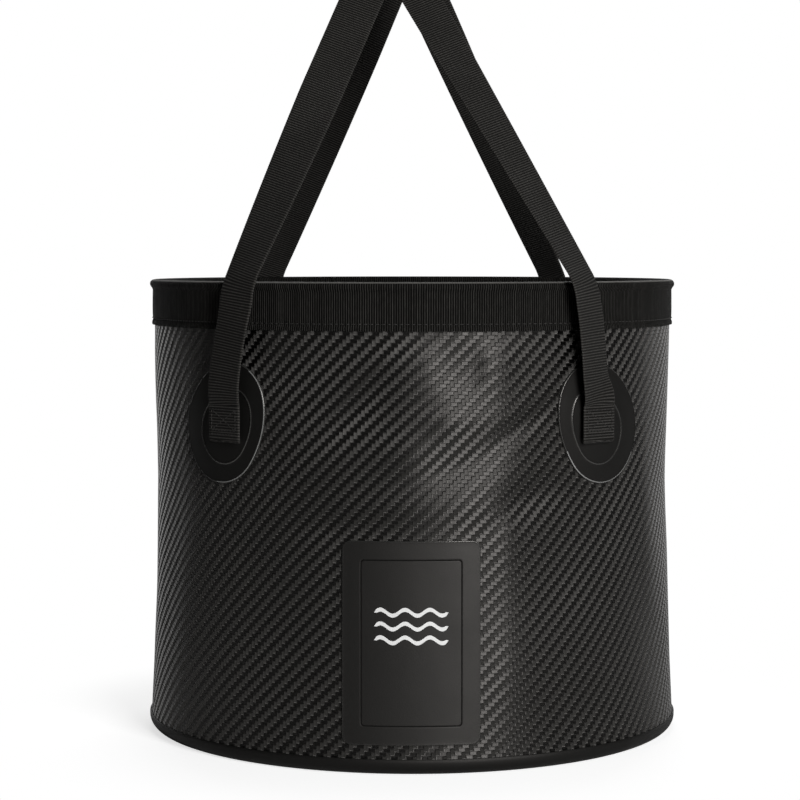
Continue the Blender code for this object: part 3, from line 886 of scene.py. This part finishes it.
def make_waves():
    """A generic printed motif: three level rows of waves, like water."""
    points = []
    faces = []
    for level in WAVE_LEVELS:
        base = len(points)
        for i in range(WAVE_STEPS + 1):
            across = -WAVE_HALF + 2 * WAVE_HALF * i / WAVE_STEPS
            height = level + WAVE_RISE * math.sin(math.tau * i / WAVE_STEPS * WAVES)
            taper = INK_HALF * smooth(0, 4, min(i, WAVE_STEPS - i) + 0.6)
            for offset in (-taper, taper):
                place = across / wall_radius(height)
                seat = skin_radius(place, height + offset) + GAP / 2
                radius = seat + LABEL_THICK * FRAME_PROFILE[-1][1] + PRINT_LIFT
                points.append(around(place, radius, height + offset))
        for i in range(WAVE_STEPS):
            a = base + 2 * i
            faces.append((a, a + 2, a + 3, a + 1))
    piece = make_mesh("label_print", points, faces)
    finish_piece(piece, "patch_sheet", "base", [print_ink])
    shorten(piece)


def make_handle_patches():
    def edge(inset):
        return egg(PATCH_WIDTH - 2 * inset, PATCH_DROP - inset, PATCH_RISE - inset, PATCH_LEAN)

    def oval(inset):
        outline = egg(OVAL_WIDTH - 2 * inset, OVAL_DROP - inset, OVAL_RISE - inset, PATCH_LEAN)
        return [(across + OVAL_SIDE, up) for across, up in outline]

    for row, turn, mirror in (("front", 0, 1), ("back", math.pi, -1)):
        for side, sign in (("right", 1), ("left", -1)):
            hand = sign * mirror
            make_patch(f"patch_skin_{row}_{side}", turn + hand * PATCH_ANGLE, PATCH_MIDDLE, PATCH_THICK, edge, oval,
                       RIDGE_PROFILE, hand, [patch_sheet, bead_highlight_sheet, bead_glint], f"handle_patch_{row}_{side}",
                       wear_and_glint=BEAD_GLINT[hand])


# Handles


def sewn_radii():
    """Radii of the outer and the tucked layer of a sewn end, at their middles."""
    seat = wall_radius(HINGE_HEIGHT) + GAP + PATCH_THICK + GAP
    under = seat + STRAP_THICK / 2
    return under + STRAP_THICK + GAP, under


def handle_half(row, side):
    """Centres of the strap and its turns, from the tucked end to the crest of the handle."""
    rim_angle, rim_twist, fade, run_twist, most_slide = LEGS[f"{row}_{'right' if side > 0 else 'left'}"]
    outer, under = sewn_radii()
    fold = (outer - under) / 2
    low = SEWN_BOTTOM + fold + STRAP_THICK / 2
    angle = side * SEWN_ANGLE
    tucked_end = HINGE_HEIGHT - 0.0005
    profile = [(under, tucked_end - i * (tucked_end - low) / 10) for i in range(10)]
    profile += arc(((outer + under) / 2, low), fold, -math.pi, 0, 8)
    profile += [(outer, low + i * (HINGE_HEIGHT - low) / 10) for i in range(1, 11)]
    path = [around(angle, radius, height) for radius, height in profile]
    twists = [SEWN_TWIST] * len(path)
    up = Vector((0, 0, 1))
    start = around(angle, outer, HINGE_HEIGHT)
    rise = start + up * RUN_START
    away = up + around(angle, 1, 0) * RUN_LEAN
    corner = around(side * rim_angle, HOOP_RADIUS + FOLD_OUT + RIM_STAND, HOOP_HEIGHT + FOLD_OUT / 2)
    hand = Vector((HAND_SIDES[row], -HAND_SPREAD, HAND_HEIGHT))
    crest = Vector((HAND_SIDES[row], -HAND_SPREAD, CREST_HEIGHT))
    lean = up * math.cos(RIM_LEAN) - side * turned(side * rim_angle) * math.sin(RIM_LEAN)
    leg = (hand - corner).normalized()
    run_end = corner - lean * RIM_BEND
    leg_start = corner + leg * RIM_BEND
    leg_end = hand - leg * HAND_BEND
    run_steps, bend_steps, leg_steps, crest_steps = 60, 24, 160, 80
    run = interpolate_bezier(rise, rise + away * RUN_PULL, run_end - lean * RUN_PULL, run_end, run_steps)
    pulls = (run_end.lerp(corner, BEND_SHARE), leg_start.lerp(corner, BEND_SHARE))
    bend = interpolate_bezier(run_end, *pulls, leg_start, bend_steps)
    over = Vector((side * CREST_PULL, 0, 0))
    top = interpolate_bezier(leg_end, leg_end + leg * HAND_PULL, crest + over, crest, crest_steps)
    for i, centre in enumerate(run):
        share = i / (run_steps - 1)
        slide = most_slide * smooth(0.0, 0.30, share) * smooth(0.9, 0.25, share)
        path.append(centre - side * turned(side * rim_angle) * slide)
        first = smooth(0, TWIST_SHARE, share)
        last = smooth(TWIST_SHARE, 0, 1 - share)
        twists.append(SEWN_TWIST + (run_twist - SEWN_TWIST) * first + (rim_twist - run_twist) * last)
    for centre in bend[1:]:
        path.append(centre)
        twists.append(rim_twist)
    for i in range(1, leg_steps + 1):
        path.append(leg_start.lerp(leg_end, i / leg_steps))
        twists.append(rim_twist * max(0, 1 - i / leg_steps / fade))
    left_over = twists[-1]
    for i, centre in enumerate(top[1:], 1):
        path.append(centre)
        twists.append(left_over + (math.pi / 2 - left_over) * smooth(0, crest_steps - 1, i))
    return path, twists


def evened(path, across, step):
    """The same route in equal steps."""
    total = lengths(path)
    count = round(total[-1] / step)
    places = [total[-1] * i / count for i in range(count + 1)]
    k = 0
    centres = []
    sides = []
    for place in places:
        while k < len(total) - 2 and total[k + 1] < place:
            k += 1
        share = (place - total[k]) / max(1e-9, total[k + 1] - total[k])
        centres.append(path[k].lerp(path[k + 1], share))
        sides.append(across[k].lerp(across[k + 1], share))
    return centres, sides, places


# Half of the webbing's section: share of the half width, share of the half thickness
SECTION = ((1.0, 0.0), (0.985, 0.55), (0.95, 0.88), (0.90, 0.98), (0.86, 1.0), (0.60, 1.0), (0.30, 1.0), (0.0, 1.0))
# How much a rib changes the webbing's width and thickness, and the most that it slants
RIB_WIDE = 0.006
RIB_THICK = 0.13
MOST_SHEAR = 0.7
# The tucked end under each sewn end is drawn in, so that it stays hidden
TUCK = 0.14
TUCK_LENGTH = 0.020


def strap_section():
    half = [(w * STRAP_WIDTH / 2, t * STRAP_THICK / 2) for w, t in SECTION]
    upper = half + [(-w, t) for w, t in half[-2::-1]]
    return upper + [(w, -t) for w, t in upper[-2:0:-1]]


def make_handle(row, depth):
    """One strap from sewn end to sewn end, as one mesh. depth is -1 for the back handle."""
    path, twists = handle_half(row, 1)
    left_path, left_twists = handle_half(row, -1)
    across = [turned(t) for t in twists]
    path = path + left_path[-2::-1]
    across += [Vector((-math.cos(t), math.sin(t), 0)) for t in left_twists[-2::-1]]
    across = [(-side if i >= len(twists) else side) for i, side in enumerate(across)]
    path = [Vector((p.x, depth * p.y, p.z)) for p in path]
    across = [Vector((d.x, depth * d.y, d.z)) for d in across]
    centres, sides, places = evened(path, across, PICK / 4)
    section = strap_section()
    rings = []
    shears = {}
    last = len(centres) - 1
    for i, centre in enumerate(centres):
        # below the rim the ribs slant on the webbing, so that they run level
        ahead = (centres[min(i + 1, last)] - centres[max(i - 1, 0)]).normalized()
        side = (sides[i] - ahead * sides[i].dot(ahead)).normalized()
        face = side.cross(ahead)
        level = -(side.x * ahead.x + side.z * ahead.z) / max(0.05, ahead.x**2 + ahead.z**2)
        shear = max(-MOST_SHEAR, min(MOST_SHEAR, level)) * smooth(0.5, 0.9, abs(ahead.z))
        shears[places[i]] = shear
        from_end = min(places[i], places[-1] - places[i])
        tuck = 1 - TUCK * smooth(TUCK_LENGTH, TUCK_LENGTH - 0.004, from_end)
        ring = []
        for u, v in section:
            rib = math.cos(math.tau * (places[i] - shear * u) / PICK)
            wide = u * tuck * (1 - RIB_WIDE * rib)
            ring.append(centre + side * wide + face * (v * (1 - RIB_THICK * rib)))
        rings.append(ring)
    widths = [u for u, _ in section]
    points, faces, corners, _ = loft(rings, places, widths + widths[:1], caps=True)
    corners = [tuple((a - shears[a] * w, w) for a, w in face) for face in corners]
    piece = make_mesh(f"{row}_webbing", points, faces, corners, sharp=60)
    finish_piece(piece, "webbing", None, [webbing], f"{row}_strap", f"strap_end_{row}_right", f"strap_end_{row}_left")
    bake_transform(piece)


# Seam lines on a sewn end, from point to point, as place across the strap and height: a box, a cross, a row below
SEAM_LINES = (((-0.0098, 0.1965), (0.0098, 0.1965)), ((-0.0098, 0.1850), (0.0098, 0.1850)),
              ((-0.0098, 0.1965), (-0.0098, 0.1850)), ((0.0098, 0.1965), (0.0098, 0.1850)),
              ((-0.0090, 0.1960), (0.0090, 0.1855)), ((0.0090, 0.1960), (-0.0090, 0.1855)),
              ((-0.0104, 0.1828), (0.0104, 0.1828)))
SEAM_STITCH = 0.0024
SEAM_THREAD = 0.00030
SEAM_GAP = 0.12


def make_seams():
    """A box with a cross in it on each sewn end, and a row below it."""
    outer, _ = sewn_radii()
    runs = []
    for turn in (0, math.pi):
        for hand in (1, -1):
            angle = turn + hand * SEWN_ANGLE
            side = turned(turn + hand * SEWN_TWIST)
            centre = around(angle, outer, 0)
            normal = side.cross(Vector((0, 0, 1)))
            if normal.dot(centre) < 0:
                normal = -normal
            face = centre + normal * STRAP_THICK * 0.52
            for (u0, z0), (u1, z1) in SEAM_LINES:
                a = face + side * u0 + Vector((0, 0, z0))
                b = face + side * u1 + Vector((0, 0, z1))
                count = max(1, round((b - a).length / SEAM_STITCH))
                for i in range(count):
                    start = a.lerp(b, (i + SEAM_GAP) / count)
                    end = a.lerp(b, (i + 1 - SEAM_GAP) / count)
                    runs.append((start, end, normal, SEAM_THREAD))
    piece = thread_mesh("handle_seams", runs)
    finish_piece(piece, "webbing", "handle_mounts", [thread])


make_wall()
make_bottom()
make_rim()
make_rim_stitches()
make_label()
make_waves()
make_handle_patches()
make_handle("front", 1)
make_handle("back", -1)
make_seams()
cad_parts["rim_hoop"].data.materials.clear()
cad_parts["rim_hoop"].data.materials.append(rod)


# Studio

FLOOR_RADIUS = 0.62
FLOOR_SIDES = 96
FLOOR_GREY = 0.80
FLOOR_LIFT = 0.69
FLOOR_FADE = (0.17, 0.26)
# Glossy rays see the backdrop past these values of their direction's Y
BACKDROP = (0.56, 0.76)
ROOM_LEVEL = 0.022
CAMERA_LENS = 104.4
CAMERA_TURN = math.radians(0.4)
CAMERA_TILT = math.radians(90 - 3.63)
CAMERA_SIDE = -0.0072
CAMERA_DISTANCE = 1.400
CAMERA_HEIGHT = 0.2832


def make_floor():
    """A round white table top. It fades into the white background, and keeps the shadow near the foot."""
    turns = [math.tau * i / FLOOR_SIDES for i in range(FLOOR_SIDES)]
    rim = [Vector((FLOOR_RADIUS * math.cos(turn), FLOOR_RADIUS * math.sin(turn), 0)) for turn in turns]
    floor = make_mesh("floor", rim, [tuple(range(FLOOR_SIDES))])
    material = bpy.data.materials.new("floor_white")
    g = Tree(material)
    g.tree.nodes.clear()
    diffuse = g.add("ShaderNodeBsdfDiffuse")
    g.put(diffuse.inputs["Color"], (FLOOR_GREY, FLOOR_GREY, FLOOR_GREY, 1))
    lift = g.add("ShaderNodeEmission")
    g.put(lift.inputs["Strength"], FLOOR_LIFT)
    white = g.add("ShaderNodeEmission")
    from_middle = g.add("ShaderNodeVectorMath", operation="LENGTH")
    g.put(from_middle.inputs[0], g.place())
    fade = g.span(from_middle.outputs["Value"], *FLOOR_FADE)
    camera_ray = g.add("ShaderNodeLightPath").outputs["Is Camera Ray"]
    lit = g.shade("ShaderNodeAddShader", diffuse.outputs[0], lift.outputs[0])
    near = g.shade("ShaderNodeMixShader", fade, lit, white.outputs[0])
    seen = g.shade("ShaderNodeMixShader", camera_ray, diffuse.outputs[0], near)
    g.put(g.add("ShaderNodeOutputMaterial").inputs[0], seen)
    floor.data.materials.append(material)


def make_world():
    """A white backdrop behind the object, also to glossy rays, in a room that is dim on the camera's side."""
    world = bpy.data.worlds.new("studio")
    bpy.context.scene.world = world
    g = Tree(world)
    background = g.tree.nodes["Background"]
    g.put(background.inputs["Color"], (1, 1, 1, 1))
    split = g.add("ShaderNodeSeparateXYZ")
    g.put(split.inputs[0], g.add("ShaderNodeTexCoord").outputs["Generated"])
    ray = g.add("ShaderNodeLightPath").outputs
    glossy = g.math("MULTIPLY", ray["Is Glossy Ray"], g.span(split.outputs["Y"], *BACKDROP))
    seen = g.math("MAXIMUM", ray["Is Camera Ray"], ray["Is Transmission Ray"])
    shown = g.math("MAXIMUM", glossy, seen)
    g.put(background.inputs["Strength"], g.math("MAXIMUM", shown, ROOM_LEVEL))


def make_light(name, place, target, size, power):
    data = bpy.data.lights.new(name, "AREA")
    data.shape = "RECTANGLE"
    data.size, data.size_y = size
    data.energy = power
    lamp = bpy.data.objects.new(name, data)
    lamp.location = place
    lamp.rotation_euler = (Vector(target) - Vector(place)).to_track_quat("-Z", "Y").to_euler()
    bpy.context.scene.collection.objects.link(lamp)


def make_camera():
    data = bpy.data.cameras.new("camera")
    data.lens = CAMERA_LENS
    data.sensor_width = 36
    camera = bpy.data.objects.new("camera", data)
    camera.location = turned(CAMERA_TURN) * CAMERA_SIDE + around(CAMERA_TURN, CAMERA_DISTANCE, CAMERA_HEIGHT)
    camera.rotation_euler = (CAMERA_TILT, 0, CAMERA_TURN)
    bpy.context.scene.collection.objects.link(camera)
    bpy.context.scene.camera = camera


make_floor()
make_world()
make_light("key", (0.86, -1.79, 0.66), (0, 0, 0.20), (0.76, 1.1), 35)
make_light("top", (0.0, 1.3, 1.6), (0, 0, 0.2), (1.4, 1.0), 12)
make_camera()
bpy.context.scene.view_settings.view_transform = "Standard"
